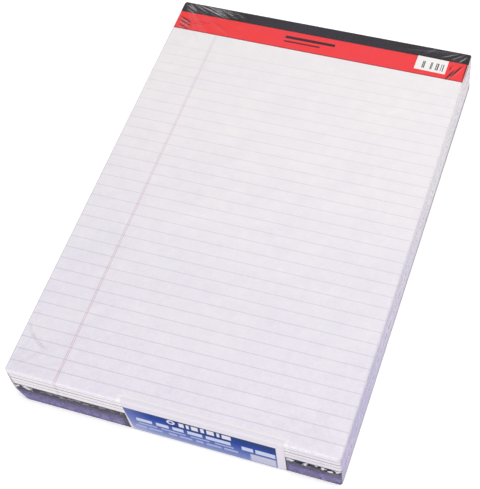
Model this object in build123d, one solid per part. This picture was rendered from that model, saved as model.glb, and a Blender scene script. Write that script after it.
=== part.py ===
from build123d import *
import math
import os

# A pack of legal pads in clear shrink film. All sizes are in millimetres.
# +X is to the right, +Y points to the head of the top pad, and +Z is up.
# The origin is on the surface that the pack stands on, under the middle of the pads.

# The pads. Half of them have the head at +Y, and the other half lie under them, turned round.
count_each_way = 4
pad_width = 210.0
pad_length = 316.6
head_thickness = 4.62
foot_thickness = 3.60

# The layers of one pad. The tape and the strip are pressed in flush with the top sheet.
board_thickness = 0.60
tape_thickness = 0.25
tape_face_width = 9.6
tape_back_width = 22.0
strip_thickness = 0.12
strip_lower_edge = 26.4
strip_ramp = 1.0

# Corners and edges of the wrapped block, as the film's pull has rounded them.
corner_radius = 2.0
top_edge_radius = 1.2
bottom_edge_radius = 1.0

# The near left corner is crushed: its rounding grows from the knee down to the base.
crushed_radius_base = 11.2
crushed_radius_knee = 5.2
crushed_knee_height = 10.0
tape_turn_deg = 60.0

# The shrink film and its trim seal, a bead that runs round three sides.
film_thickness = 0.15
seal_height = 0.50
seal_stand = 0.40
seal_end_gap = 4.0
seal_label_gap = 1.0

# The label on the near end, turned over the top edge. Its sides lean, as it was stuck on.
label_thickness = 0.12
label_left_at_top = -30.0
label_left_at_base = -26.9
label_right = 71.2
label_lap = 3.0
label_base_gap = 0.6

# The bar sticker on the film, over the red strip.
sticker_width = 21.5
sticker_height = 12.2
sticker_thickness = 0.12
sticker_from_right = 24.5
sticker_from_head = 16.1
sticker_turn_deg = -1.0

# Worked out from the sizes above.
pad_count = 2 * count_each_way
stack_height = count_each_way * (head_thickness + foot_thickness)
base_z = film_thickness
top_z = base_z + stack_height
seal_z = base_z + count_each_way * head_thickness
half_width = pad_width / 2
half_length = pad_length / 2
beyond = 5.0


def layer_height(number, at_y):
    """Height of the plane on top of pad `number`, 0 for the base. A head is thicker than a foot,
    so each plane falls evenly from the end where the heads lie to the end where the feet lie."""
    turned = min(number, count_each_way)
    upright = number - turned
    near = turned * head_thickness + upright * foot_thickness
    far = turned * foot_thickness + upright * head_thickness
    share = (at_y + half_length) / pad_length
    return base_z + near + (far - near) * share


def across(points):
    """Solid across the whole width, from an outline in the Y-Z plane."""
    width = pad_width + 2 * beyond
    outline = Polyline(*points, close=True)
    face = Plane(origin=(-width / 2, 0, 0), x_dir=(0, 1, 0), z_dir=(1, 0, 0)) * make_face(outline)
    return extrude(face, width)


def slab(number_below, lift_below, number_above, drop_above):
    """Solid between two planes of the stack, each moved up or down by an even amount."""
    ends = (-half_length - beyond, half_length + beyond)
    lower = [(y, layer_height(number_below, y) + lift_below) for y in ends]
    upper = [(y, layer_height(number_above, y) - drop_above) for y in reversed(ends)]
    return across(lower + upper)


def crushed_radius(z):
    """Rounding of the near left corner at a height: two straight stretches that meet at a knee."""
    knee_z = base_z + crushed_knee_height
    if z <= knee_z:
        slope = (crushed_radius_knee - crushed_radius_base) / crushed_knee_height
    else:
        slope = (corner_radius - crushed_radius_knee) / (top_z - knee_z)
    return crushed_radius_knee + slope * (z - knee_z)


def corner_outline(radius, grow, z):
    """Face of what a rounding takes off the near left corner, with a margin outside the block."""
    x = -half_width - grow
    y = -half_length - grow
    r = radius + grow
    middle = r * (1 - math.sqrt(0.5))
    edges = [
        Line((x - beyond, y - beyond), (x + r, y - beyond)),
        Line((x + r, y - beyond), (x + r, y)),
        ThreePointArc((x + r, y), (x + middle, y + middle), (x, y + r)),
        Line((x, y + r), (x - beyond, y + r)),
        Line((x - beyond, y + r), (x - beyond, y - beyond)),
    ]
    return Location((0, 0, z)) * make_face(edges)


def crushed_corner(grow):
    """What the crushed corner takes off the wrapped block, from below the base to above the top."""
    heights = (base_z - beyond, base_z + crushed_knee_height, top_z + beyond)
    faces = [corner_outline(crushed_radius(z), grow, z) for z in heights]
    lower = loft(faces[:2], ruled=True)
    upper = loft(faces[1:], ruled=True)
    return [lower, upper]


def wrapped_block(grow, crushed=True):
    """The block of pads, larger all round by `grow`, with its rounded corners and edges."""
    block = Box(pad_width + 2 * grow, pad_length + 2 * grow, stack_height + 2 * grow)
    block = Location((0, 0, base_z + stack_height / 2)) * block
    uprights = block.edges().filter_by(Axis.Z)
    square = uprights.sort_by(lambda edge: edge.center().X + edge.center().Y)[1:]
    block = fillet(square, corner_radius + grow)
    flat = block.faces().filter_by(Axis.Z).sort_by(Axis.Z)
    block = fillet(flat[-1].edges(), top_edge_radius + grow)
    flat = block.faces().filter_by(Axis.Z).sort_by(Axis.Z)
    block = fillet(flat[0].edges(), bottom_edge_radius + grow)
    if crushed:
        for waste in crushed_corner(grow):
            block = block - waste
    return block


def pad_column(number, edges_block):
    """Upright column in a pad's plan, with the pad's own rounding at the crushed corner."""
    bottom = layer_height(number - 1, -half_length)
    radius = crushed_radius(bottom)
    prism = extrude(corner_outline(radius, 0.0, -beyond), stack_height + 3 * beyond)
    return edges_block - prism, radius


def make_pad(number, edges_block):
    """The four pieces of one pad: its tape, header strip, board and block of sheets."""
    head = -1 if number <= count_each_way else 1
    column, crushed = pad_column(number, edges_block)
    body = column & slab(number - 1, 0.0, number, 0.0)

    # The tape is a skin on the head: the body less a core that is set back by the tape's thickness.
    set_back = Location((0, -head * tape_thickness, 0)) * column
    turn = 1 - math.cos(math.radians(tape_turn_deg))
    near_left = crushed if head < 0 else corner_radius
    depth = 2 * pad_length
    core = set_back
    for side, radius in ((-1, near_left), (1, corner_radius)):
        from_head = radius * turn
        middle_y = head * (half_length - from_head - depth / 2)
        half = Box(pad_width, depth, 4 * stack_height)
        core = core + (Location((side * half_width, middle_y, 0)) * half & column)
    core = core & slab(number - 1, tape_thickness, number, tape_thickness)
    face_flap = head_zone(head, tape_face_width, number, upper=True)
    back_flap = head_zone(head, tape_back_width, number, upper=False)
    tape = (body & (face_flap + back_flap)) - core
    inside = body - tape

    board_slab = slab(number - 1, 0.0, number - 1, -board_thickness)
    board = inside & board_slab
    strip = inside & strip_zone(head, number, strip_thickness)
    sheets = inside - board_slab - strip_zone(head, number, head_thickness)
    return {"binding_tape": tape, "header_strip": strip, "backing_board": board, "sheets": sheets}


def head_zone(head, width, number, upper):
    """The part of a pad within `width` of its head, in the upper or the lower half of its height."""
    end = head * (half_length + beyond)
    inner = head * (half_length - width)
    ends = sorted((end, inner))

    def middle(y):
        return (layer_height(number - 1, y) + layer_height(number, y)) / 2

    reach = head_thickness if upper else -head_thickness
    near = [(y, middle(y)) for y in ends]
    far = [(y, middle(y) + reach) for y in reversed(ends)]
    return across(near + far)


def strip_zone(head, number, height):
    """What lies within a height above the underside of a pad's header strip. The strip is flush
    with the top sheet, and it dips under the tape towards the head."""
    ramp_end = tape_face_width + strip_ramp
    corners = (
        (strip_lower_edge, strip_thickness),
        (ramp_end, strip_thickness),
        (tape_face_width, strip_thickness + tape_thickness),
        (-beyond, strip_thickness + tape_thickness),
    )
    lower = []
    for from_head, depth in corners:
        y = head * (half_length - from_head)
        lower.append((y, layer_height(number, y) - depth))
    upper = [(y, z + height) for y, z in reversed(lower)]
    return across(lower + upper)


def make_film():
    """The shrink film: a thin closed skin on the block, with its trim seal on three sides."""
    outer = wrapped_block(film_thickness)
    film = outer - wrapped_block(0.0)
    seal_zone = Location((-seal_end_gap, 0, seal_z)) * Box(
        pad_width + 2 * corner_radius, pad_length + 2 * beyond, seal_height
    )
    seal = (wrapped_block(film_thickness + seal_stand) & seal_zone) - outer
    label_mid = (label_left_at_top + label_right) / 2
    label_reach = label_right - label_left_at_top + 2 * seal_label_gap
    under_label = Box(label_reach, 2 * beyond, 4 * seal_height)
    seal = seal - Location((label_mid, -half_length, seal_z)) * under_label
    return film + seal


def make_label():
    """The end label: a thin skin on the film, turned over the top edge by its lap."""
    inner = wrapped_block(film_thickness)
    outer = wrapped_block(film_thickness + label_thickness)
    low = base_z + label_base_gap
    high = top_z + beyond
    outline = Polyline(
        (label_left_at_base, low),
        (label_right, low),
        (label_right, high),
        (label_left_at_top, high),
        close=True,
    )
    plane = Plane(origin=(0, -half_length + label_lap, 0), x_dir=(1, 0, 0), z_dir=(0, -1, 0))
    reach = extrude(plane * make_face(outline), label_lap + beyond)
    return (outer & reach) - inner


def make_sticker():
    """The bar sticker, flat on the film and a little askew."""
    plate = Box(sticker_width, sticker_height, sticker_thickness)
    x = half_width - sticker_from_right
    y = half_length - sticker_from_head
    z = top_z + film_thickness + sticker_thickness / 2
    return Location((x, y, z), (0, 0, sticker_turn_deg)) * plate


os.makedirs("parts", exist_ok=True)

edges_only = wrapped_block(0.0, crushed=False)
for pad in range(1, pad_count + 1):
    for piece, solid in make_pad(pad, edges_only).items():
        export_step(solid, f"parts/pad_{pad:02d}_{piece}.step")

export_step(make_film(), "parts/shrink_film.step")
export_step(make_label(), "parts/end_label.step")
export_step(make_sticker(), "parts/bar_sticker.step")
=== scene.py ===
# %% [markdown]
# A pack of ruled legal pads in clear shrink film, dressed for a studio picture.
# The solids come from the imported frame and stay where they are. This script gives each of them a finish,
# and it replaces one of them, the film, by a surface that has the creases that heat leaves in real film.

# %% Load the frame
import math

import bpy
import numpy as np
from mathutils import Matrix, Vector


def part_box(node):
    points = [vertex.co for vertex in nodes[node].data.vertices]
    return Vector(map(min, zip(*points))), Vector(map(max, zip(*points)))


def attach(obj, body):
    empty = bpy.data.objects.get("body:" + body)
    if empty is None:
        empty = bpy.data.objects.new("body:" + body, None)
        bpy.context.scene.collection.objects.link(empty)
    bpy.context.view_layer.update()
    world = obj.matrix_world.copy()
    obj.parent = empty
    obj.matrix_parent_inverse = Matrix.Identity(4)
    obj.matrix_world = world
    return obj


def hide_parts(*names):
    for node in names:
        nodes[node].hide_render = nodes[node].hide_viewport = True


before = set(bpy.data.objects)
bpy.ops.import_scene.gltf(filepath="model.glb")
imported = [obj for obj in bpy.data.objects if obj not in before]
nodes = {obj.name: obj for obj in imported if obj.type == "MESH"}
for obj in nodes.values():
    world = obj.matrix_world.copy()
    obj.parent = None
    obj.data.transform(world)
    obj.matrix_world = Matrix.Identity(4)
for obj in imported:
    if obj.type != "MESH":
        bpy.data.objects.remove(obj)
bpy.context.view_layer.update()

# %% [markdown]
# Sizes on the pack are written in millimetres, as they would be measured on the real one, and colours as
# sRGB hex values, as they would be picked in a paint program. Blender wants metres and linear light, so
# both are turned here.

# %% Units, colours and nodes
MM = 0.001
FALLING = {"To Min": 1.0, "To Max": 0.0}


def linear(hex_colour):
    """sRGB hex to linear light: each channel c is c / 12.92 when small, else ((c + 0.055) / 1.055) ** 2.4."""
    channels = [int(hex_colour[i : i + 2], 16) / 255 for i in (1, 3, 5)]
    return tuple(c / 12.92 if c <= 0.04045 else ((c + 0.055) / 1.055) ** 2.4 for c in channels) + (1.0,)


def add(tree, kind, inputs=(), **settings):
    """Adds one shader node. Inputs are values, hex colours, sockets, or nodes whose first output is used."""
    node = tree.nodes.new("ShaderNode" + kind)
    for name, value in settings.items():
        setattr(node, name, value)
    for key, value in dict(inputs).items():
        if isinstance(value, str):
            value = linear(value)
        if isinstance(value, bpy.types.Node):
            value = value.outputs[0]
        if isinstance(value, bpy.types.NodeSocket):
            tree.links.new(value, node.inputs[key])
        else:
            node.inputs[key].default_value = value
    return node


def new_material(name):
    """An empty node material and its tree."""
    material = bpy.data.materials.new(name)
    material.use_nodes = True
    material.node_tree.nodes.clear()
    return material, material.node_tree


def place_in_mm(tree, centre=(0, 0, 0), turn_deg=0.0):
    """The point on the piece in millimetres from a centre, turned back by an angle: (p - centre) / MM.
    So the scale of a pattern on it is how often the pattern repeats in a millimetre."""
    point = add(tree, "TexCoord").outputs["Object"]
    angle = math.radians(turn_deg)
    location = [c * MM for c in centre]
    inputs = {"Vector": point, "Location": location, "Rotation": (0, 0, angle), "Scale": (MM,) * 3}
    return add(tree, "Mapping", inputs, vector_type="TEXTURE")


def around(value, soft):
    """The limits of a soft step at a value."""
    return {"From Min": value - soft, "From Max": value + soft}


def away_from(tree, value, middle):
    """How far a value is from a middle: |value - middle|."""
    off = add(tree, "Math", {0: value, 1: middle}, operation="SUBTRACT")
    return add(tree, "Math", {0: off}, operation="ABSOLUTE")


def dress(node_names, material, slot):
    """Gives CAD nodes a material and says which of the record's slots it fills."""
    for name in node_names:
        piece = nodes[name]
        piece.data.materials.clear()
        piece.data.materials.append(material)
    print(f"{material.name} on {len(node_names)} pieces, as {slot}")


# %% [markdown]
# The block of pads inside the film is read from the frame, so that whatever is added here follows the
# solids: its half width, half length, base and top, and the plane where the turned pads end.

# %% Sizes of the block
PAD_COUNT = sum(name.endswith("_sheets") for name in nodes)
TURNED = PAD_COUNT // 2
ALL_PADS = range(1, PAD_COUNT + 1)
TURNED_PADS, UPRIGHT_PADS = ALL_PADS[:TURNED], ALL_PADS[TURNED:]
label_low, label_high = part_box("end_label")
sticker_low, sticker_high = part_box("bar_sticker")

HALF_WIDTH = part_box("pad_01_sheets")[1].x / MM
HALF_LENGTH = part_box("pad_01_binding_tape")[0].y / -MM
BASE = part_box("pad_01_backing_board")[0].z / MM
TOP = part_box(f"pad_{PAD_COUNT:02d}_sheets")[1].z / MM
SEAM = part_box(f"pad_{TURNED:02d}_binding_tape")[1].z / MM
print(f"block {2 * HALF_WIDTH:.1f} x {2 * HALF_LENGTH:.1f} mm")
print(f"base at z {BASE:.2f}, seam at z {SEAM:.2f}, top at z {TOP:.2f}")


def of_pads(numbers, kind):
    """The names of one kind of piece in some of the pads."""
    return [f"pad_{number:02d}_{kind}" for number in numbers]


# %% [markdown]
# The picture was taken from above the foot of the top pad, a little to its right, with a long lens held
# slightly askew. A camera is a place and three directions, so its matrix is written from them directly.

# %% Camera
CAMERA_AT = (211.0, -465.9, 715.0)
AZIMUTH, ELEVATION, ROLL = 25.76, 54.87, -8.39
FOCAL_PX, LONG_SIDE_PX, SENSOR = 1330.0, 489.0, 36.0

azimuth, elevation, roll = (math.radians(a) for a in (AZIMUTH, ELEVATION, ROLL))
flat = math.cos(elevation)
back = Vector((math.sin(azimuth) * flat, -math.cos(azimuth) * flat, math.sin(elevation)))
level = Vector((0, 0, 1)).cross(back).normalized()
upright = back.cross(level)
right = level * math.cos(roll) + upright * math.sin(roll)
up = back.cross(right)

camera = bpy.data.objects.new("camera", bpy.data.cameras.new("camera"))
bpy.context.scene.collection.objects.link(camera)
camera.data.sensor_width = SENSOR
camera.data.lens = FOCAL_PX / LONG_SIDE_PX * SENSOR
turn = Matrix((right, up, back)).transposed().to_4x4()
camera.matrix_world = Matrix.Translation(Vector(CAMERA_AT) * MM) @ turn
bpy.context.scene.camera = camera
print(f"lens {camera.data.lens:.1f} mm")

# %% [markdown]
# The stage is a white sweep that reads as pure white paper behind the pack. A diffuse white alone stays
# a little grey, so rays that come straight from the camera see some light of its own added to it. The
# lamps on the pack stay at a plain level, and the floor keeps a soft shadow. One lamp hangs over the
# pack, one stands in front, as the near end is almost as bright as the top, and one lights the right.

# %% Floor, lamps and world
FLOOR_SIZE, FLOOR_OWN_LIGHT = 6.0, 0.42
WORLD_LEVEL = 0.42
# Each soft box: name, place and side in metres, and watts.
SOFTBOXES = (
    ("key_softbox", (0.10, -0.10, 1.15), 0.75, 4.9),
    ("front_softbox", (-0.30, -1.45, 0.50), 1.0, 9.2),
    ("side_softbox", (0.95, 0.40, 0.55), 1.0, 5.3),
)

floor_mesh = bpy.data.meshes.new("studio_floor")
edge = FLOOR_SIZE / 2
corners = [(-edge, -edge, 0), (edge, -edge, 0), (edge, edge, 0), (-edge, edge, 0)]
floor_mesh.from_pydata(corners, [], [(0, 1, 2, 3)])
floor = bpy.data.objects.new("studio_floor", floor_mesh)
bpy.context.scene.collection.objects.link(floor)

sweep, tree = new_material("white_studio_sweep")
path = add(tree, "LightPath")
own_light = add(tree, "Math", {0: path.outputs["Is Camera Ray"], 1: FLOOR_OWN_LIGHT}, operation="MULTIPLY")
paper = add(tree, "BsdfDiffuse", {"Color": "#f2f1f0"})
glow = add(tree, "Emission", {"Color": "#ffffff", "Strength": own_light})
both = add(tree, "AddShader", {0: paper, 1: glow})
add(tree, "OutputMaterial", {"Surface": both})
floor_mesh.materials.append(sweep)

for name, at, size, watts in SOFTBOXES:
    lamp = bpy.data.objects.new(name, bpy.data.lights.new(name, "AREA"))
    bpy.context.scene.collection.objects.link(lamp)
    lamp.data.size, lamp.data.energy, lamp.location = size, watts, at
    lamp.rotation_euler = (-Vector(at)).to_track_quat("-Z", "Y").to_euler()
    print(name, watts, "W")

world = bpy.data.worlds.new("studio_air")
bpy.context.scene.world = world
world.use_nodes = True
tree = world.node_tree
tree.nodes["Background"].inputs["Color"].default_value = linear("#ffffff")
# The camera sees the air as white paper, and everything else gets the lower level.
seen = add(tree, "LightPath").outputs["Is Camera Ray"]
air_level = add(tree, "MapRange", {"Value": seen, "To Min": WORLD_LEVEL, "To Max": 1.0})
tree.links.new(air_level.outputs[0], tree.nodes["Background"].inputs["Strength"])
bpy.context.scene.view_settings.view_transform = "Standard"

# %% [markdown]
# White writing paper is wood-free paper, calendered smooth, with rules and a double margin line printed
# by offset. From above one sees the printed page, and from the side the cut edges of the sheets, which
# read as fine level streaks. Both are one material that asks where on the pad it is: the print shows
# where the surface faces up, and the streaks where it stands. The turned pads have the same paper
# turned by half a turn. A sheet is 0.07 mm thick, too fine to show, so the streaks are drawn coarser.

# %% Ruled white paper
RULE_PITCH, FIRST_RULE, LAST_RULE, RULE_TILT_DEG = 8.58, 116.5, -149.5, 0.35
RULE_WIDTH, MARGIN_X, MARGIN_GAP, MARGIN_WIDTH, MARGIN_FADE = 0.6, -71.9, 1.1, 0.5, (-150.0, 130.0)
STREAK_HEIGHT, STREAK_LENGTH = 0.35, 60.0
# Share of ink at the near and the far end of the page, on the cut edge, and the softness of a line.
RULE_INK, MARGIN_INK, EDGE_INK, SOFT = (0.28, 0.12), (0.49, 0.23), 0.22, 0.06


def ruled_paper(name, turned):
    """Offset-printed writing paper. Calendered paper is almost matt, with a faint warm white."""
    material, tree = new_material(name)
    point = place_in_mm(tree, turn_deg=180.0 if turned else 0.0)
    part = add(tree, "SeparateXYZ", {0: point})
    x, y = part.outputs["X"], part.outputs["Y"]
    facing = add(tree, "SeparateXYZ", {0: add(tree, "NewGeometry").outputs["Normal"]}).outputs["Z"]
    face_up = add(tree, "MapRange", {"Value": facing, "From Min": 0.6, "From Max": 0.9})

    # A rule is where the height on the page, in pitches, is near a whole number.
    tilt = -math.tan(math.radians(RULE_TILT_DEG))
    lean = add(tree, "Math", {0: x, 1: tilt, 2: y}, operation="MULTIPLY_ADD")
    from_last = add(tree, "Math", {0: lean, 1: LAST_RULE}, operation="SUBTRACT")
    pitches = add(tree, "Math", {0: from_last, 1: RULE_PITCH}, operation="DIVIDE")
    off_line = add(tree, "Math", {0: pitches, 1: 0.5}, operation="PINGPONG")
    line_edge = around(RULE_WIDTH / 2 / RULE_PITCH, SOFT / RULE_PITCH)
    rule = add(tree, "MapRange", {"Value": off_line, **line_edge, **FALLING})
    below = add(tree, "Math", {0: lean, 1: FIRST_RULE + RULE_PITCH / 2}, operation="LESS_THAN")
    above = add(tree, "Math", {0: lean, 1: LAST_RULE - RULE_PITCH / 2}, operation="GREATER_THAN")
    along = {"Value": y, "From Min": LAST_RULE, "From Max": FIRST_RULE}
    ink = add(tree, "MapRange", {**along, "To Min": RULE_INK[0], "To Max": RULE_INK[1]})
    for factor in (below, above, face_up, ink):
        rule = add(tree, "Math", {0: rule, 1: factor}, operation="MULTIPLY")

    # The margin is two lines side by side. Its ink also shows on the cut edge, sheet after sheet.
    off_margin = away_from(tree, x, MARGIN_X)
    off_pair = away_from(tree, off_margin, MARGIN_GAP / 2)
    margin = add(tree, "MapRange", {"Value": off_pair, **around(MARGIN_WIDTH / 2, SOFT), **FALLING})
    along = {"Value": y, "From Min": MARGIN_FADE[0], "From Max": MARGIN_FADE[1]}
    fade = add(tree, "MapRange", {**along, "To Min": MARGIN_INK[0], "To Max": MARGIN_INK[1]})
    on_page = add(tree, "Math", {0: face_up, 1: fade}, operation="MULTIPLY")
    on_page = add(tree, "Math", {0: on_page, 1: margin}, operation="MULTIPLY")
    close = {"Value": off_margin, "From Min": 0.6, "From Max": 1.6}
    on_edge = add(tree, "MapRange", {**close, "To Min": EDGE_INK, "To Max": 0})
    upright_face = add(tree, "Math", {0: 1.0, 1: face_up}, operation="SUBTRACT")
    on_edge = add(tree, "Math", {0: on_edge, 1: upright_face}, operation="MULTIPLY")
    margin = add(tree, "Math", {0: on_page, 1: on_edge}, operation="MAXIMUM")

    # Cut edges: noise stretched along the sheets.
    streak_scale = (1 / STREAK_LENGTH, 1 / STREAK_LENGTH, 1 / STREAK_HEIGHT)
    stretched = add(tree, "VectorMath", {0: point, 1: streak_scale}, operation="MULTIPLY")
    streaks = add(tree, "TexNoise", {"Vector": stretched, "Scale": 1.0, "Detail": 3.0})
    across = {"Value": streaks.outputs["Fac"], "From Min": 0.3, "From Max": 0.7}
    edge_tone = add(tree, "MapRange", {**across, "To Min": 0, "To Max": EDGE_INK})
    edge_tone = add(tree, "Math", {0: edge_tone, 1: upright_face}, operation="MULTIPLY")
    fibres = add(tree, "TexNoise", {"Vector": point, "Scale": 0.12, "Detail": 6.0, "Roughness": 0.6})
    cloud = add(tree, "MapRange", {"Value": fibres.outputs["Fac"], "From Min": 0.35, "From Max": 0.65})

    sheet = add(tree, "Mix", {0: cloud, 6: "#f9f5f5", 7: "#f5f1f2"}, data_type="RGBA")
    for share, colour in ((edge_tone, "#cfc6cb"), (rule, "#8a8696"), (margin, "#c68a9c")):
        sheet = add(tree, "Mix", {0: share, 6: sheet.outputs[2], 7: colour}, data_type="RGBA")
    layers = add(tree, "Math", {0: streaks.outputs["Fac"], 1: upright_face}, operation="MULTIPLY")
    tooth = add(tree, "TexNoise", {"Vector": point, "Scale": 2.5, "Detail": 3.0})
    relief = add(tree, "Math", {0: tooth.outputs["Fac"], 1: 0.08, 2: layers}, operation="MULTIPLY_ADD")
    bump = add(tree, "Bump", {"Height": relief, "Strength": 0.35, "Distance": 0.1 * MM})
    finish = {"Roughness": 0.7, "Specular IOR Level": 0.2, "Normal": bump}
    surface = add(tree, "BsdfPrincipled", {"Base Color": sheet.outputs[2], **finish})
    add(tree, "OutputMaterial", {"Surface": surface})
    return material


upright_paper = ruled_paper("ruled_writing_paper", turned=False)
turned_paper = ruled_paper("ruled_writing_paper_turned", turned=True)
dress(of_pads(TURNED_PADS, "sheets"), turned_paper, "white_paper")
dress(of_pads(UPRIGHT_PADS, "sheets"), upright_paper, "white_paper")

# %% [markdown]
# The backing board is grey chipboard: pulped waste paper pressed into a board. Its face shows fibres and dark
# specks, and its cut edge is a matt grey line. One board in the pack is much darker, as painted shade for a
# gap between two pads, and one, the lowest of the upright pads, is lined with white paper.

# %% Grey chipboard
FIBRE_SCALE, SPECK_SCALE = 1.3, 0.9


def chipboard(name, face_colour, speck_colour):
    """Recycled board, rolled but not coated, so it is quite matt."""
    material, tree = new_material(name)
    point = place_in_mm(tree)
    fibres = add(tree, "TexNoise", {"Vector": point, "Scale": FIBRE_SCALE, "Detail": 5.0, "Roughness": 0.7})
    specks = add(tree, "TexNoise", {"Vector": point, "Scale": SPECK_SCALE, "Detail": 2.0, "Distortion": 1.5})
    speck = add(tree, "MapRange", {"Value": specks.outputs["Fac"], "From Min": 0.66, "From Max": 0.74})
    body = add(tree, "Mix", {0: fibres.outputs["Fac"], 6: face_colour, 7: speck_colour}, data_type="RGBA")
    flecked = add(tree, "Mix", {0: speck, 6: body.outputs[2], 7: "#5c5656"}, data_type="RGBA")
    bump = add(tree, "Bump", {"Height": fibres.outputs["Fac"], "Strength": 0.4, "Distance": 0.08 * MM})
    finish = {"Roughness": 0.85, "Normal": bump}
    surface = add(tree, "BsdfPrincipled", {"Base Color": flecked.outputs[2], **finish})
    add(tree, "OutputMaterial", {"Surface": surface})
    return material


# The shaded board's dark grey is painted shade for a gap between two pads.
SHADED_BOARD = 7
pale_board = chipboard("grey_chipboard", "#c3bbc0", "#aaa2a7")
shaded_board = chipboard("dark_chipboard_painted_shade", "#6f666c", "#574f55")
white_board = chipboard("white_lined_chipboard", "#ece6e8", "#ddd6d9")
for number in ALL_PADS:
    board = {SHADED_BOARD: shaded_board, TURNED + 1: white_board}.get(number, pale_board)
    dress(of_pads([number], "backing_board"), board, "grey_board")

# %% [markdown]
# The head of each pad is bound with black paper tape that has a pressed leather grain. Real grain is
# cells of about 0.6 mm with smooth tops, and the tops catch the light more than the grooves. Worley
# cells give that. The grain is drawn at 0.8 mm so that it shows at all in a picture of the whole pack.

# %% Black binding tape
GRAIN = 0.8

black_tape, tree = new_material("black_grained_binding_tape")
point = place_in_mm(tree)
cells = add(tree, "TexVoronoi", {"Vector": point, "Scale": 1 / GRAIN}, feature="SMOOTH_F1")
drift = add(tree, "TexNoise", {"Vector": point, "Scale": 0.05, "Detail": 4.0})
from_cell = {"Value": cells.outputs["Distance"], "From Min": 0.2, "From Max": 0.6}
top_of_grain = add(tree, "MapRange", {**from_cell, **FALLING})
tone = add(tree, "Mix", {0: drift.outputs["Fac"], 6: "#1b1518", 7: "#262024"}, data_type="RGBA")
grained = add(tree, "Mix", {0: top_of_grain, 6: tone.outputs[2], 7: "#302a2e"}, data_type="RGBA")
bump = add(tree, "Bump", {"Height": top_of_grain, "Strength": 0.5, "Distance": 0.06 * MM})
finish = {"Roughness": 0.6, "Specular IOR Level": 0.2, "Normal": bump}
surface = add(tree, "BsdfPrincipled", {"Base Color": grained.outputs[2], **finish})
add(tree, "OutputMaterial", {"Surface": surface})
dress(of_pads(ALL_PADS, "binding_tape"), black_tape, "black_tape")

# %% [markdown]
# The header strip is coated paper printed solid red, with a thin darker line along its lower edge and a dark
# band under the tape's edge, both painted shade.
# Solid ink on coated paper is even, with a slight mottle, and shinier than the page. Print on it is a
# plain pair of dark bars in the middle, and two faint lines at the left.

# %% Red header strip
STRIP_LOWER, STRIP_LINE, TAPE_FACE = HALF_LENGTH - 26.4, 0.7, 9.6
PLAIN_BARS = ((-24.0, 12.0, 141.6, 144.0), (-24.0, 2.0, 138.2, 139.4))
FINE_BARS = ((-97.0, -80.0, 141.2, 141.8), (-97.0, -84.0, 138.9, 139.5))
FINE_INK = 0.35


def inside_boxes(tree, across, along, boxes, soft=0.12):
    """1 inside any of the boxes (low and high across, low and high along), and 0 outside, with soft edges."""
    total = None
    for low_x, high_x, low_y, high_y in boxes:
        mask = None
        for value, low, high in ((across, low_x, high_x), (along, low_y, high_y)):
            off = away_from(tree, value, (low + high) / 2)
            one = add(tree, "MapRange", {"Value": off, **around((high - low) / 2, soft), **FALLING})
            mask = one if mask is None else add(tree, "Math", {0: mask, 1: one}, operation="MULTIPLY")
        total = mask if total is None else add(tree, "Math", {0: total, 1: mask}, operation="MAXIMUM")
    return total


def red_strip(name, turned):
    """Solid red ink on coated paper: half gloss, even, a little mottled, with painted shade along its lower
    edge and under the tape.
    """
    material, tree = new_material(name)
    point = place_in_mm(tree, turn_deg=180.0 if turned else 0.0)
    part = add(tree, "SeparateXYZ", {0: point})
    x, y = part.outputs["X"], part.outputs["Y"]
    mottle = add(tree, "TexNoise", {"Vector": point, "Scale": 0.25, "Detail": 5.0})
    ink = add(tree, "Mix", {0: mottle.outputs["Fac"], 6: "#f93537", 7: "#ff3e3f"}, data_type="RGBA")
    # Painted shade: a thin dark line along the lower edge, and dark under the tape.
    line_top, tape_edge = STRIP_LOWER + STRIP_LINE, HALF_LENGTH - TAPE_FACE
    lower_edge_shade = {"From Min": line_top, "From Max": line_top + 0.3, "To Min": 0.75, "To Max": 0}
    for place, colour in ((lower_edge_shade, "#8f2a30"), (around(tape_edge, 0.1), "#2f272b")):
        share = add(tree, "MapRange", {"Value": y, **place})
        ink = add(tree, "Mix", {0: share, 6: ink.outputs[2], 7: colour}, data_type="RGBA")
    if not turned:
        bars = inside_boxes(tree, x, y, PLAIN_BARS)
        fine = inside_boxes(tree, x, y, FINE_BARS)
        fine = add(tree, "Math", {0: fine, 1: FINE_INK}, operation="MULTIPLY")
        print_ink = add(tree, "Math", {0: bars, 1: fine}, operation="MAXIMUM")
        ink = add(tree, "Mix", {0: print_ink, 6: ink.outputs[2], 7: "#3a1518"}, data_type="RGBA")
    finish = {"Roughness": 0.45, "Specular IOR Level": 0.2}
    surface = add(tree, "BsdfPrincipled", {"Base Color": ink.outputs[2], **finish})
    add(tree, "OutputMaterial", {"Surface": surface})
    return material


upright_strip = red_strip("red_printed_header_strip", turned=False)
turned_strip = red_strip("red_printed_header_strip_turned", turned=True)
dress(of_pads(TURNED_PADS, "header_strip"), turned_strip, "red_strip")
dress(of_pads(UPRIGHT_PADS, "header_strip"), upright_strip, "red_strip")

# %% [markdown]
# The film is a closed skin round the block. A box of grid lines would show its corners, so the skin is
# worked out as the real one lies: a rounded outline carried down the side. The stations round it crowd
# at the corners, and those down the side lie close together at the seam, where the film has most form.

# %% Outline of the wrapped block
FILM = BASE
CORNER, TOP_EDGE, BOTTOM_EDGE = 2.0, 1.2, 1.0
CRUSHED_BASE, CRUSHED_KNEE, KNEE = 11.2, 5.2, 10.0
HALF_ARC, ACROSS, ALONG = 5, 134, 190
CROWDING = 0.8
FINE_ABOVE, FINE_BELOW = 1.6, 4.8
EDGE_ROWS, UPPER_ROWS, SEAM_ROWS, LOWER_ROWS = 6, 8, 21, 9


def crushed(z):
    """Radius of the crushed near left corner at a height: two straight stretches that meet at a knee."""
    lower = CRUSHED_KNEE + (CRUSHED_BASE - CRUSHED_KNEE) * (BASE + KNEE - z) / KNEE
    upper = CRUSHED_KNEE + (CORNER - CRUSHED_KNEE) * (z - BASE - KNEE) / (TOP - BASE - KNEE)
    return np.where(z < BASE + KNEE, lower, upper)


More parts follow.
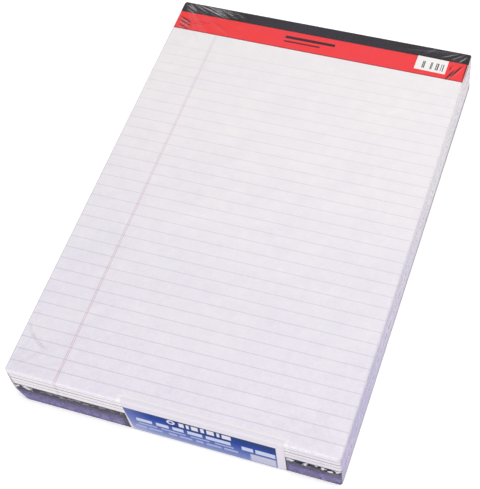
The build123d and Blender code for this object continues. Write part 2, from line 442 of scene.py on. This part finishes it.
def crowded(count):
    """Fractions from 0 to 1 that crowd towards both ends: t - c * sin(2 pi t) / (2 pi)."""
    t = np.arange(1, count + 1) / (count + 1)
    return t - CROWDING * np.sin(2 * np.pi * t) / (2 * np.pi)


def columns():
    """The stations round the outline, border by border, from the middle of one corner to the next: the
    two corners that each lies between, the share of the way, and the direction that it faces."""
    start, end, share, facing = [], [], [], []
    for border, count in enumerate((ACROSS, ALONG, ACROSS, ALONG)):
        first = math.radians(225 + 90 * border)
        quarter = math.radians(45)
        arc = np.linspace(0, 1, HALF_ARC + 1)
        following = (border + 1) % 4
        start += [border] * (HALF_ARC + 1 + count) + [following] * HALF_ARC
        end += [border] * (HALF_ARC + 1) + [following] * (count + HALF_ARC)
        share += [0.0] * (HALF_ARC + 1) + list(crowded(count)) + [0.0] * HALF_ARC
        facing += list(first + quarter * arc) + [first + quarter] * count
        facing += list(first + quarter + quarter * arc[:-1])
    return np.array(start), np.array(end), np.array(share), np.array(facing)


def profile():
    """The stations down the side: height, how far in from the wall, and the angle that it faces."""
    top_radius, bottom_radius = TOP_EDGE + FILM, BOTTOM_EDGE + FILM
    top_angles = np.radians(np.linspace(90, 0, EDGE_ROWS))
    bottom_angles = np.radians(np.linspace(0, -90, EDGE_ROWS))
    upper_wall = np.linspace(TOP + FILM - top_radius, SEAM + FINE_ABOVE, UPPER_ROWS)[1:]
    seam_rows = np.linspace(SEAM + FINE_ABOVE, SEAM - FINE_BELOW, SEAM_ROWS)[1:-1]
    lower_wall = np.linspace(SEAM - FINE_BELOW, BASE - FILM + bottom_radius, LOWER_ROWS)[:-1]
    wall = np.concatenate([upper_wall, seam_rows, lower_wall])
    z = np.concatenate([
        TOP + FILM - top_radius * (1 - np.sin(top_angles)),
        wall,
        BASE - FILM + bottom_radius * (1 + np.sin(bottom_angles)),
    ])
    inset = np.concatenate([
        top_radius * (1 - np.cos(top_angles)),
        np.zeros(len(wall)),
        bottom_radius * (1 - np.cos(bottom_angles)),
    ])
    tilt = np.concatenate([top_angles, np.zeros(len(wall)), bottom_angles])
    return z, inset, tilt


print(len(columns()[0]), "stations round the block,", len(profile()[0]), "down its side")

# %% [markdown]
# Every point on the side is a corner's centre plus its radius times a direction. The top and the bottom
# are Coons patches, filled from the four curves round them. A Coons patch blends the two curves across
# and the two along, and takes away the plane through their corners, so it meets the side exactly.

# %% Grid of the skin
LEAST_RADIUS = 0.05


def side_surface():
    """Points and outward directions on the side, one row for each height: corner centre plus radius
    times direction, and between two corners a straight share of the two ends."""
    start, end, share, facing = columns()
    z, inset, tilt = profile()
    signs = np.array([(-1, -1), (1, -1), (1, 1), (-1, 1)])
    out = np.stack([np.cos(facing), np.sin(facing)], axis=1)

    def at_corner(corner):
        block_radius = np.where(corner[None, :] == 0, crushed(z)[:, None], CORNER)
        radius = np.maximum(block_radius + FILM - inset[:, None], LEAST_RADIUS)
        reach = np.array([HALF_WIDTH, HALF_LENGTH]) + FILM - inset[:, None, None] - radius[:, :, None]
        return signs[corner][None] * reach + radius[:, :, None] * out[None]

    flat = (1 - share)[None, :, None] * at_corner(start) + share[None, :, None] * at_corner(end)
    points = np.concatenate([flat, np.broadcast_to(z[:, None, None], flat.shape[:2] + (1,))], axis=2)
    normals = np.concatenate([
        np.cos(tilt)[:, None, None] * out[None],
        np.broadcast_to(np.sin(tilt)[:, None, None], flat.shape[:2] + (1,)),
    ], axis=2)
    return points, normals


def coons(front, right_side, back_side, left_side):
    """Fills four border curves: P = across blend + along blend - corner plane."""
    u = np.linspace(0, 1, len(front))[:, None, None]
    v = np.linspace(0, 1, len(left_side))[None, :, None]
    between = (1 - v) * front[:, None] + v * back_side[:, None]
    along = (1 - u) * left_side[None] + u * right_side[None]
    near = (1 - u) * front[0] + u * front[-1]
    far = (1 - u) * back_side[0] + u * back_side[-1]
    return between + along - (1 - v) * near - v * far


def film_grid():
    """Points, outward directions and faces of the whole closed skin."""
    points, normals = side_surface()
    rows, stations = points.shape[:2]
    index = np.arange(rows * stations).reshape(rows, stations)
    following = np.roll(index, -1, axis=1)
    walls = np.stack([index[1:], following[1:], following[:-1], index[:-1]], axis=-1).reshape(-1, 4)
    flat = points.reshape(-1, 3)
    all_points, all_normals, all_faces = [flat], [normals.reshape(-1, 3)], [walls]
    count = len(flat)
    front_count, side_count = ACROSS + 2 * HALF_ARC + 1, ALONG + 2 * HALF_ARC + 1
    starts = np.cumsum([0, front_count, side_count, front_count])
    for row, upward in ((0, 1.0), (rows - 1, -1.0)):
        ring = np.append(index[row], index[row][0])
        front = ring[starts[0] : starts[1] + 1]
        right_side = ring[starts[1] : starts[2] + 1]
        back_side = ring[starts[2] : starts[3] + 1][::-1]
        left_side = ring[starts[3] :][::-1]
        patch = coons(flat[front], flat[right_side], flat[back_side], flat[left_side])
        grid = np.full(patch.shape[:2], -1)
        grid[:, 0], grid[:, -1], grid[0], grid[-1] = front, back_side, left_side, right_side
        inner = (len(front) - 2) * (len(left_side) - 2)
        grid[1:-1, 1:-1] = (count + np.arange(inner)).reshape(len(front) - 2, -1)
        count += inner
        quads = np.stack([grid[:-1, :-1], grid[1:, :-1], grid[1:, 1:], grid[:-1, 1:]], axis=-1).reshape(-1, 4)
        all_faces.append(quads if upward > 0 else quads[:, ::-1])
        all_points.append(patch[1:-1, 1:-1].reshape(-1, 3))
        all_normals.append(np.tile((0.0, 0.0, upward), (inner, 1)))
    return np.concatenate(all_points), np.concatenate(all_normals), np.concatenate(all_faces)


film_points, film_normals, film_faces = film_grid()
print("film grid:", len(film_points), "points,", 2 * len(film_faces), "triangles")

# %% [markdown]
# Hot air shrinks the film until it is tight. What is left over gathers into creases: fans that run in
# from the corners, pleats over the crushed corner, and the trim seam, where the two halves were welded.
# A crease is a sharp low ridge on a straight stretch. The strongest are listed, and those of one fan come
# from a loop with seeded chance.

# %% Creases on the top
FULL_HEIGHT = 0.36
chance = np.random.default_rng(11)
creases = []


def add_crease(start, end, height, width, lit=1.0, dark=1.0):
    """One straight stretch: its ridge height, its half width, and how much painted highlight and painted
    shade its sides get. A low crease shows less: its sides get (height / full height) ** 1.5 of that."""
    strong = min(height / FULL_HEIGHT, 1.0) ** 1.5
    creases.append((start, end, height, width, lit * strong, dark * strong))


def add_fan(corner, aim_deg, spread_deg, reach, count, height, width):
    """Creases that run out from near a corner of the top, over a spread of directions."""
    for _ in range(count):
        angle = math.radians(aim_deg + spread_deg * chance.uniform(-0.5, 0.5))
        near = chance.uniform(1.0, 8.0)
        far = near + reach * chance.uniform(0.4, 1.0)
        start = (corner[0] + near * math.cos(angle), corner[1] + near * math.sin(angle), TOP)
        end = (corner[0] + far * math.cos(angle), corner[1] + far * math.sin(angle), TOP)
        add_crease(start, end, height * chance.uniform(0.5, 1.0), width * chance.uniform(0.7, 1.3))


W, L = HALF_WIDTH, HALF_LENGTH

# Creases on the tape and the strip, at the head's left and right ends: start, end and height. On the tape
# they are fine, with white painted highlights, and on the strip they are broader, with more painted shade
# than highlight.
for start, end, height in (
    ((-97.5, 157.6), (-85.0, 150.6), 0.26),
    ((-100.5, 156.6), (-94.0, 151.0), 0.28),
    ((-79.0, 158.0), (-63.0, 150.8), 0.30),
    ((-75.0, 158.3), (-66.0, 154.2), 0.24),
    ((-68.0, 157.6), (-57.0, 151.6), 0.18),
    ((-93.5, 157.0), (-70.0, 149.0), 0.42),
    ((-88.5, 158.3), (-69.0, 150.0), 0.36),
    ((-83.5, 158.3), (-72.0, 152.6), 0.30),
    ((-102.0, 155.0), (-92.5, 150.0), 0.32),
    ((-101.0, 151.5), (-93.5, 147.8), 0.28),
    ((-102.5, 142.2), (-94.0, 138.2), 0.34),
    ((-102.5, 139.0), (-93.0, 135.2), 0.34),
    ((-102.0, 135.2), (-94.5, 131.6), 0.28),
    ((-80.0, 143.5), (-64.0, 134.5), 0.12),
    ((98.0, 149.0), (102.0, 154.2), 0.34),
    ((86.0, 151.0), (95.5, 155.9), 0.26),
    ((74.0, 152.0), (81.5, 157.8), 0.20),
    ((91.5, 149.2), (100.0, 156.4), 0.24),
    ((93.4, 131.6), (97.2, 140.4), 0.34),
    ((96.0, 134.0), (101.5, 145.2), 0.36),
    ((93.4, 137.0), (94.9, 144.2), 0.24),
):
    if min(start[1], end[1]) > L - 12:
        add_crease((*start, TOP), (*end, TOP), 0.85 * height, 0.65)
    else:
        lit = 0.15 if start[0] > 0 else 0.45
        add_crease((*start, TOP), (*end, TOP), height, 1.2, lit, dark=1.3)

# The film turns sharply away over both ends of the strip, and these creases get mostly painted shade.
add_crease((W - 0.5, L - 26.0, TOP), (W - 0.5, L - 6.0, TOP), 0.30, 0.9, lit=0.0, dark=1.2)
add_crease((0.5 - W, L - 26.0, TOP), (0.5 - W, L - 11.0, TOP), 0.22, 0.8, lit=0.2, dark=1.0)

# Fine fans from the four corners: corner, aim and spread in degrees, reach, count, height, half width.
add_fan((-W, L), -25, 70, 60, 14, 0.09, 0.8)
add_fan((W, L), 205, 70, 45, 12, 0.09, 0.8)
add_fan((-W, -L), 40, 80, 60, 9, 0.06, 1.1)
add_fan((W, -L), 140, 80, 50, 8, 0.05, 1.1)

# The bent crease on the page above the crushed corner.
bend = [(-103.0, -123.0), (-99.5, -129.5), (-94.0, -134.5), (-86.5, -138.5)]
for start, end in zip(bend, bend[1:]):
    add_crease((*start, TOP), (*end, TOP), 0.14, 1.0)
print(len(creases), "creases on the top")

# %% [markdown]
# On the sides the film hangs in short steep pleats, most of them at the seam and at the base. The crushed
# corner has more of them, and a few sharp folds where the film had too much to take up.

# %% Pleats on the sides
def on_corner(angle, z, radius_z):
    """The point of the crushed corner that faces an angle: centre + radius (at a height) * direction."""
    radius = float(crushed(np.array(radius_z)))
    return (radius * (1 + math.cos(angle)) - W, radius * (1 + math.sin(angle)) - L, z)


# Sharp folds on the crushed corner, just under the seam: the angle and height of both ends.
for ends in (
    ((246, 19.4), (232, 13.0)), ((232, 13.0), (212, 7.0)), ((206, 18.6), (222, 12.4)),
    ((262, 18.4), (250, 12.8)), ((238, 17.4), (258, 14.6)),
):
    start, end = (on_corner(math.radians(angle), z, z) for angle, z in ends)
    add_crease(start, end, FULL_HEIGHT, 1.1)

# Pleats all over the crushed corner.
for _ in range(16):
    angle = math.radians(chance.uniform(185, 265))
    top_z = chance.uniform(14.0, 30.0)
    low_z = top_z - chance.uniform(6.0, 13.0)
    slant = chance.uniform(-0.35, 0.35)
    middle = 0.5 * (top_z + low_z)
    start, end = on_corner(angle, top_z, middle), on_corner(angle + slant, low_z, middle)
    add_crease(start, end, chance.uniform(0.15, 0.4), 0.8)


def add_pleats(side, count):
    """Short steep creases along one side: front 0, right 1, back 2, left 3."""
    for _ in range(count):
        share = chance.uniform(-0.97, 0.97)
        z = chance.choice((SEAM - 1.0, BASE + 9.0, BASE + 4.0)) + chance.uniform(-2, 2)
        low_z = max(z - chance.uniform(3.0, 9.0), BASE + 1)
        drift = chance.uniform(-7.0, 7.0)
        if side in (0, 2):
            y = -L if side == 0 else L
            start, end = (share * W, y, z), (share * W + drift, y, low_z)
        else:
            x = W if side == 1 else -W
            start, end = (x, share * L, z), (x, share * L + drift, low_z)
        add_crease(start, end, chance.uniform(0.06, 0.20), 0.9)


for side, count in ((0, 46), (1, 50), (2, 46), (3, 50)):
    add_pleats(side, count)
print(len(creases), "creases in all")

# %% [markdown]
# Each crease then becomes numbers at every point of the skin: how far the point stands proud, and how
# much it lies on the side that catches the light or on the side that turns it away. The film also waves
# a little everywhere, its weld stands out as a bead, and it is pressed flat under the label and sticker.

# %% Skin with its creases
TOWARD_CAMERA = np.array((0.28, -0.55, 0.79))
# Middle of a crease's lit and dark side and the width of both, in half widths of the crease.
LIT_AT, DARK_AT, SIDE_WIDTH = 0.5, -0.7, 0.4
SEAM_HEIGHT, SEAM_WIDTH, SEAM_WANDER = 0.38, 0.45, 0.35
WAVE_HEIGHT, MOST_PROUD, FLAT_MARGIN = 0.02, 0.40, 1.5


def crease_fields(points):
    """Ridge height, lit side and dark side at each point. With d the distance from the stretch, signed so
    that it is positive on the camera's side, and w its half width: height h * exp(-(d / w) ** 1.4), lit
    exp(-((d / w - 0.5) / 0.4) ** 2), dark the same about -0.7. All three fade towards both ends."""
    ridge, lit, dark = np.zeros((3, len(points)))
    for start, end, height, width, whiteness, darkness in creases:
        start, end = np.array(start), np.array(end)
        run = end - start
        share = ((points - start) @ run) / (run @ run)
        off = points - start - np.clip(share, 0, 1)[:, None] * run
        aside = TOWARD_CAMERA - run * (TOWARD_CAMERA @ run) / (run @ run)
        distance = np.linalg.norm(off, axis=1) / width
        signed = distance * np.sign(off @ aside)
        fade = np.sin(np.pi * np.clip(share, 0.02, 0.98)) ** 0.5
        ridge = np.maximum(ridge, height * fade * np.exp(-(distance**1.4)))
        lit = np.maximum(lit, whiteness * fade * np.exp(-(((signed - LIT_AT) / SIDE_WIDTH) ** 2)))
        dark = np.maximum(dark, darkness * fade * np.exp(-(((signed - DARK_AT) / SIDE_WIDTH) ** 2)))
    return ridge, lit, dark


def slow_waves(points, count, shortest, longest):
    """Sum of plane waves with seeded directions, phases and lengths, scaled to about -1 to 1."""
    total = np.zeros(len(points))
    for _ in range(count):
        direction = chance.normal(size=3)
        direction /= np.linalg.norm(direction)
        length = chance.uniform(shortest, longest)
        total += np.sin(2 * np.pi * (points @ direction) / length + chance.uniform(0, 2 * np.pi))
    return total / math.sqrt(count)


def seam_share(points, normals):
    """How much of the seam is at each point: near the seam's height, on three sides, not by the label."""
    wander = SEAM_WANDER * slow_waves(points * (1, 1, 0), 10, 3.0, 14.0)
    off = np.abs(points[:, 2] - SEAM - wander)
    on_side = (normals[:, 0] < 0.5) & (np.abs(normals[:, 2]) < 0.5)
    x = points[:, 0]
    by_label = (normals[:, 1] < -0.5) & (x > label_low.x / MM - 1) & (x < label_high.x / MM + 1)
    return np.exp(-((off / SEAM_WIDTH) ** 2)) * on_side * ~by_label


def keep_flat(points):
    """0 by the label and the sticker, where the film is pressed flat, and 1 elsewhere."""
    pressed = np.zeros(len(points), bool)
    for low, high in ((label_low, label_high), (sticker_low, sticker_high)):
        low, high = np.array(low) / MM - FLAT_MARGIN, np.array(high) / MM + FLAT_MARGIN
        pressed |= np.all((points > low) & (points < high), axis=1)
    return 1.0 - pressed


ridge, lit, dark = crease_fields(film_points)
seam = seam_share(film_points, film_normals)
waves = slow_waves(film_points, 12, 18.0, 70.0)
ripple = slow_waves(film_points * (1, 1, 0.8), 18, 2.6, 7.0)
free = keep_flat(film_points)
bead = SEAM_HEIGHT * seam * np.clip(0.65 + 0.45 * ripple, 0.1, 1.0)
proud = np.clip(free * (ridge + WAVE_HEIGHT * waves + bead), -0.05, MOST_PROUD)
proud[film_normals[:, 2] < -0.5] = 0.0
film_points = film_points + proud[:, None] * film_normals
print(f"the film stands {proud.min():.2f} to {proud.max():.2f} mm proud")

# %% [markdown]
# The film's solid is a plain shell. So the creased skin is a mesh of its own that takes the place of the
# solid and rides on the same body. Smooth shading hides the steps of its grid.

# %% Film mesh
skin = bpy.data.meshes.new("shrink_film_skin")
skin.from_pydata((film_points * MM).tolist(), [], film_faces.tolist())
skin.polygons.foreach_set("use_smooth", np.full(len(film_faces), True))
skin.update()
film = bpy.data.objects.new("shrink_film_skin", skin)
bpy.context.scene.collection.objects.link(film)
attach(film, "root")
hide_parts("shrink_film")
print(len(skin.polygons), "faces in the skin")

# %% [markdown]
# Shrink film is a little hazy where it has drawn together. So each point of the skin gets a share of a faint
# violet milk, which is partly that haze and partly painted light: little over the page, more towards the
# foot, where it is painted shade, and most low on the near end, where it is a painted reflection of the
# floor. A crease gets two shares more: a painted highlight on its near side, and painted shade on its far
# side, which turns the light away. Just under the seam the film is crumpled, drawn as small white painted
# glints on painted shade.

# %% Shares of haze and painted light
# The milk that grows towards the foot is painted shade, and the low share on the near end is painted glare, a
# reflection of the floor.
PAGE_HAZE, PAGE_SHADE_AT_FOOT, SIDE_HAZE, SIDE_SHADE_AT_FOOT = 0.015, 0.09, 0.05, 0.27
FRONT_HAZE, RIGHT_FEET_HAZE, LOW_GLARE, MOST_HAZE = 0.045, 0.05, 0.37, 0.6
FLAKE_REACH, FLAKE_SWING = 3.2, 1.2
LOW_DARK, EDGE_DARK, MOST_DARK = 0.38, 0.14, 0.9


def smooth_step(value, low, high):
    """0 below low, 1 above high, and 3 t^2 - 2 t^3 between. Limits are in mm, or shares of a direction."""
    t = np.clip((value - low) / (high - low), 0, 1)
    return t * t * (3 - 2 * t)


x, y, z = film_points.T
to_foot = smooth_step(-y, -140, 170)
on_wall = smooth_step(1 - np.abs(film_normals[:, 2]), 0.3, 1.0)
on_front = on_wall * smooth_step(-film_normals[:, 1], 0.4, 0.9)
glare_below_seam = LOW_GLARE * smooth_step(SEAM - 3 - z, 0, 10)
top_haze_and_shade = PAGE_HAZE + PAGE_SHADE_AT_FOOT * to_foot + 0.008 * waves
side_haze_and_shade = SIDE_HAZE + SIDE_SHADE_AT_FOOT * to_foot**1.3 + 0.015 * waves
right_feet = smooth_step(x, 40, 90) * smooth_step(z - SEAM, 0, 2)
front_haze_and_glare = FRONT_HAZE + RIGHT_FEET_HAZE * right_feet + glare_below_seam * (1 + 0.2 * ripple)
haze_and_painted_light = top_haze_and_shade * (1 - on_wall) + on_wall * (side_haze_and_shade * (1 - on_front) + front_haze_and_glare * on_front)
haze_and_painted_light *= 0.15 + 0.85 * smooth_step(z - BASE, 0.8, 3.0)

# Flakes of painted glint lie just under the seam, most at the right of the near end and by the crushed
# corner.
at_corner = smooth_step(-x, 86, 94) * smooth_step(-y, 146, 152)
crumpled = on_wall * np.maximum(0.3, np.maximum(on_front * smooth_step(x, 68, 74), at_corner))
patches = slow_waves(film_points * (1, 1, 0.3), 16, 7.0, 16.0)
reach = np.clip(FLAKE_REACH + FLAKE_SWING * patches, 1.8, 4.6)
band = smooth_step(SEAM + 0.3 - z, 0, 0.4) * smooth_step(z - SEAM + reach, -0.4, 0.4)
crumpled = crumpled * band * free

# Painted highlights on the lit side of each crease, stronger at the crushed corner.
white = np.clip(0.75 * lit * (1 + 0.4 * at_corner), 0, 0.95) * free

# Painted shade goes on the far side of creases, between the flakes, low on the right side, and a little along
# the film's top edge.
nx, nz = film_normals[:, 0], film_normals[:, 2]
to_right = smooth_step(nx, 0.2, 0.7)
under = LOW_DARK * to_right * smooth_step(BASE + 8 - z, 0, 7) * (0.3 + 0.7 * smooth_step(y, -150, 150))
upper_edge = EDGE_DARK * smooth_step(nx, 0.05, 0.5) * np.clip(2 * nz * np.sqrt(1 - nz**2), 0, 1)
dark = 0.9 * dark * np.maximum(1 - on_wall, at_corner)
dark = np.maximum.reduce([dark, 0.85 * crumpled * np.maximum(on_front, at_corner), under, upper_edge])
dark = np.clip(dark, 0, MOST_DARK) * free
haze_and_painted_light = np.clip(haze_and_painted_light, 0.0, MOST_HAZE) * np.where(free > 0, 1.0, 0.3)
for name, share in (("haze_and_painted_light", haze_and_painted_light), ("painted_glint", white), ("painted_shade", dark), ("crumpled", crumpled)):
    film.data.attributes.new(name, "FLOAT", "POINT").data.foreach_set("value", share.astype(np.float32))
    print(f"film {name} {share.min():.2f} to {share.max():.2f}")

# %% [markdown]
# Shrink film is PVC, blown and cast clear, and glossy on both faces. It lies close against the pads, so it is
# drawn as one clear layer with a gloss, a violet milk that is partly its haze and partly painted glare and
# shade, white painted glints, and painted shade that darkens what shows through it.

# %% PVC shrink film
FILM_IOR, MOST_GLOSS = 1.53, 0.065
STREAK_SCALE, FLAKE_SCALE, FLAKE_LIMITS = (0.34, 0.34, 0.12), 0.28, (0.51, 0.55)

clear_film, tree = new_material("clear_pvc_shrink_film")
point = place_in_mm(tree)
wavy = {"Scale": 0.16, "Detail": 4.0, "Roughness": 0.55, "Distortion": 0.6}
wrinkles = add(tree, "TexNoise", {"Vector": point, **wavy})
bump = add(tree, "Bump", {"Height": wrinkles.outputs["Fac"], "Strength": 0.5, "Distance": 0.35 * MM})
# Only the outer face adds a gloss. Dust dulls it at a slant, so the gloss has an upper limit.
fresnel = add(tree, "Fresnel", {"IOR": FILM_IOR, "Normal": bump})
fresnel = add(tree, "Math", {0: fresnel, 1: MOST_GLOSS}, operation="MINIMUM")
# Where it is crumpled, its small faces look every way, so between the flakes it has no gloss.
crumpled = add(tree, "Attribute", attribute_name="crumpled").outputs["Fac"]
lost = add(tree, "MapRange", {"Value": crumpled, "To Min": 1.0, "To Max": 0.1})
fresnel = add(tree, "Math", {0: fresnel, 1: lost}, operation="MULTIPLY")
# Painted shade darkens what is seen through the film.
painted_shade = add(tree, "Attribute", attribute_name="painted_shade").outputs["Fac"]
tint = add(tree, "Mix", {0: painted_shade, 6: "#ffffff", 7: "#1c1a20"}, data_type="RGBA")
through = add(tree, "BsdfTransparent", {"Color": tint.outputs[2]})
gloss = add(tree, "BsdfGlossy", {"Color": "#ffffff", "Roughness": 0.12, "Normal": bump})
bright = add(tree, "MixShader", {0: fresnel, 1: through, 2: gloss})

# The milk share, haze and painted light alike, is streaky, as the film was drawn: noise stretched upright and
# a little aslant.
stretched = add(tree, "VectorMath", {0: point, 1: STREAK_SCALE}, operation="MULTIPLY")
streaks = add(tree, "TexNoise", {"Vector": stretched, "Scale": 1.0, "Detail": 3.0, "Distortion": 1.2})
across = {"Value": streaks.outputs["Fac"], "From Min": 0.3, "From Max": 0.7}
streaky = add(tree, "MapRange", {**across, "To Min": 0.78, "To Max": 1.22})
milk_share = add(tree, "Attribute", attribute_name="haze_and_painted_light").outputs["Fac"]
milk_share = add(tree, "Math", {0: milk_share, 1: streaky}, operation="MULTIPLY")
# The violet milk is partly the film's haze and partly painted glare and painted shade.
milk_and_glare = add(tree, "BsdfDiffuse", {"Color": "#b0a6e6"})
milky = add(tree, "MixShader", {0: milk_share, 1: bright, 2: milk_and_glare})

# Flakes are painted glints: the high parts of a rough noise, about 3 mm apart, where the seam is crumpled.
rough = add(tree, "TexNoise", {"Vector": point, "Scale": FLAKE_SCALE, "Detail": 1.0, "Distortion": 1.0})
high_part = {"From Min": FLAKE_LIMITS[0], "From Max": FLAKE_LIMITS[1]}
flake_glints = add(tree, "MapRange", {"Value": rough.outputs["Fac"], **high_part})
flake_glints = add(tree, "Math", {0: flake_glints, 1: crumpled}, operation="MULTIPLY")
# Painted highlights: the lit sides of creases and the flakes are drawn white.
white_share = add(tree, "Attribute", attribute_name="painted_glint").outputs["Fac"]
white_share = add(tree, "Math", {0: white_share, 1: flake_glints}, operation="MAXIMUM")
glint_white = add(tree, "BsdfDiffuse", {"Color": "#dcd8dd"})
surface = add(tree, "MixShader", {0: white_share, 1: milky, 2: glint_white})
add(tree, "OutputMaterial", {"Surface": surface})
film.data.materials.append(clear_film)
print(clear_film.name, len(tree.nodes), "nodes")

# %% [markdown]
# The label is coated paper, which takes even ink and has a dull sheen, with a blue field and a white
# border, wide at the right. It carries plain blocks where a label has its words: a ring and seven thick
# ones in the top row, five and two in the middle row, two rows of fine ones, and a pale panel.

# %% Layout of the label
FIELD_TOP, FIELD_LOW, FIELD_LEFT_TOP, FIELD_RIGHT = 27.0, 0.9, -29.0, 66.0
LEFT_LEAN, EDGE_SOFT = 0.149, 0.1
RING_AT, RING_RADIUS, RING_WIDTH = (1.2, 23.4), 2.6, 1.3
TOP_BLOCKS = (
    (6.2, 9.4, 20.6, 25.3), (10.8, 12.6, 20.7, 25.4), (14.0, 18.2, 20.8, 25.6), (19.8, 22.0, 20.9, 26.0),
    (23.6, 28.2, 21.0, 26.0), (29.8, 31.6, 21.0, 25.8), (33.0, 38.6, 20.9, 25.6),
)
SHADE_BLOCKS = ((-1.6, 38.9, 19.3, 20.5), (5.8, 38.9, 25.7, 26.6))
MIDDLE_BLOCKS = (
    (-21.6, -11.6, 14.0, 17.6), (-9.0, -1.0, 14.0, 17.8), (1.4, 8.4, 14.1, 18.0), (10.8, 20.2, 14.2, 18.1),
    (22.4, 37.8, 14.2, 18.2), (44.6, 51.6, 12.8, 17.4), (53.0, 65.2, 12.6, 17.6),
)
FINE_BLOCKS = (
    (-23.0, -16.0, 6.2, 8.6), (-14.6, -6.0, 6.3, 8.5), (-2.0, 3.4, 6.4, 8.8), (5.0, 13.0, 6.4, 8.7),
    (15.4, 20.0, 6.4, 8.9), (22.0, 31.4, 6.5, 8.8), (33.0, 41.8, 6.6, 9.0), (-20.8, -9.0, 10.6, 12.2),
    (-6.2, 9.2, 10.7, 12.3), (12.4, 24.4, 10.8, 12.4), (27.6, 39.4, 10.9, 12.6),
)
PALE_PANEL = ((49.5, 65.2, 1.6, 10.4),)
print(len(TOP_BLOCKS + MIDDLE_BLOCKS + FINE_BLOCKS), "blocks on the label")

# %% [markdown]
# The blue fades to pale towards the floor, so it is a colour ramp that is read by height. The field's
# left edge leans, as the label was stuck on a little askew, and the print is laid over the blue.

# %% End label
SHEEN_TO, SHEEN_SHARE, BLUE_SLOPE = -12.0, 0.20, 0.05

label_print, tree = new_material("blue_printed_label")
point = place_in_mm(tree)
part = add(tree, "SeparateXYZ", {0: point})
x, z = part.outputs["X"], part.outputs["Z"]
lean_x = add(tree, "Math", {0: z, 1: LEFT_LEAN, 2: x}, operation="MULTIPLY_ADD")
left_limit = FIELD_LEFT_TOP + LEFT_LEAN * FIELD_TOP
field = add(tree, "MapRange", {"Value": lean_x, **around(left_limit, EDGE_SOFT)})
for value, limit in ((x, FIELD_RIGHT), (z, FIELD_TOP)):
    inside = add(tree, "MapRange", {"Value": value, **around(limit, EDGE_SOFT), **FALLING})
    field = add(tree, "Math", {0: field, 1: inside}, operation="MULTIPLY")

# The blue is deeper at the right, so the height is read a little higher there.
height = add(tree, "Math", {0: x, 1: BLUE_SLOPE, 2: z}, operation="MULTIPLY_ADD")
height = add(tree, "MapRange", {"Value": height, "From Min": FIELD_LOW, "From Max": FIELD_TOP})
ramp = add(tree, "ValToRGB", {0: height})
stops = ramp.color_ramp.elements
stops[0].color, stops[1].color = linear("#adb4d4"), linear("#16356f")
for position, colour in ((0.14, "#8490c2"), (0.35, "#6473b4"), (0.58, "#3f57a4"), (0.78, "#143c9c")):
    stops.new(position).color = linear(colour)
# Towards its left edge a painted sheen, a reflection, makes the blue paler.
from_edge = {"Value": x, "From Min": FIELD_LEFT_TOP, "From Max": SHEEN_TO}
painted_sheen = add(tree, "MapRange", {**from_edge, "To Min": SHEEN_SHARE, "To Max": 0.0})
printed = add(tree, "Mix", {0: painted_sheen, 6: ramp.outputs["Color"], 7: "#c9cfee"}, data_type="RGBA").outputs[2]

# The ring is where the distance from its middle line is less than half its width.
face = add(tree, "CombineXYZ", {"X": x, "Z": z})
off_ring = add(tree, "VectorMath", {0: face, 1: (RING_AT[0], 0, RING_AT[1])}, operation="DISTANCE")
off_ring = away_from(tree, off_ring.outputs["Value"], RING_RADIUS - RING_WIDTH / 2)
ring = add(tree, "MapRange", {"Value": off_ring, **around(RING_WIDTH / 2, EDGE_SOFT), **FALLING})
for mask, colour in (
    (inside_boxes(tree, x, z, SHADE_BLOCKS, soft=0.2), "#15204a"),
    (inside_boxes(tree, x, z, TOP_BLOCKS), "#dddde9"),
    (ring, "#dddde9"),
    (inside_boxes(tree, x, z, MIDDLE_BLOCKS), "#c8d0e8"),
    (inside_boxes(tree, x, z, FINE_BLOCKS), "#aab1d8"),
    (inside_boxes(tree, x, z, PALE_PANEL, soft=0.4), "#c3c3da"),
):
    printed = add(tree, "Mix", {0: mask, 6: printed, 7: colour}, data_type="RGBA").outputs[2]
printed = add(tree, "Mix", {0: field, 6: "#e2dde6", 7: printed}, data_type="RGBA")
finish = {"Roughness": 0.55, "Specular IOR Level": 0.15}
surface = add(tree, "BsdfPrincipled", {"Base Color": printed.outputs[2], **finish})
add(tree, "OutputMaterial", {"Surface": surface})
dress(["end_label"], label_print, "printed_label")

# %% [markdown]
# The sticker is white thermal paper, whose smooth coating has a faint shine. Its code is only a row of
# plain bars here.

# %% Bar sticker
STICKER_TURN = -1.0
# The foot and top of the bars as shares of the sticker's height from its middle, and each bar's left
# and right edge as shares of its width.
BARS_LOW, BARS_HIGH = -0.33, 0.18
STICKER_BARS = (
    (0.22, 0.25), (0.265, 0.30), (0.48, 0.51), (0.52, 0.54),
    (0.65, 0.68), (0.70, 0.74), (0.81, 0.83), (0.87, 0.90),
)

sticker_middle = (sticker_low + sticker_high) / 2 / MM
sticker_width = (sticker_high - sticker_low).x / MM
sticker_height = (sticker_high - sticker_low).y / MM
white_sticker, tree = new_material("white_thermal_sticker")
point = place_in_mm(tree, centre=sticker_middle, turn_deg=STICKER_TURN)
part = add(tree, "SeparateXYZ", {0: point})
upright_reach = (BARS_LOW * sticker_height, BARS_HIGH * sticker_height)
boxes = [
    ((low - 0.5) * sticker_width, (high - 0.5) * sticker_width, *upright_reach) for low, high in STICKER_BARS
]
bars = inside_boxes(tree, part.outputs["X"], part.outputs["Y"], boxes, soft=0.06)
printed = add(tree, "Mix", {0: bars, 6: "#f8f5f3", 7: "#45404a"}, data_type="RGBA")
surface = add(tree, "BsdfPrincipled", {"Base Color": printed.outputs[2], "Roughness": 0.45, "IOR": 1.5})
add(tree, "OutputMaterial", {"Surface": surface})
dress(["bar_sticker"], white_sticker, "white_sticker")
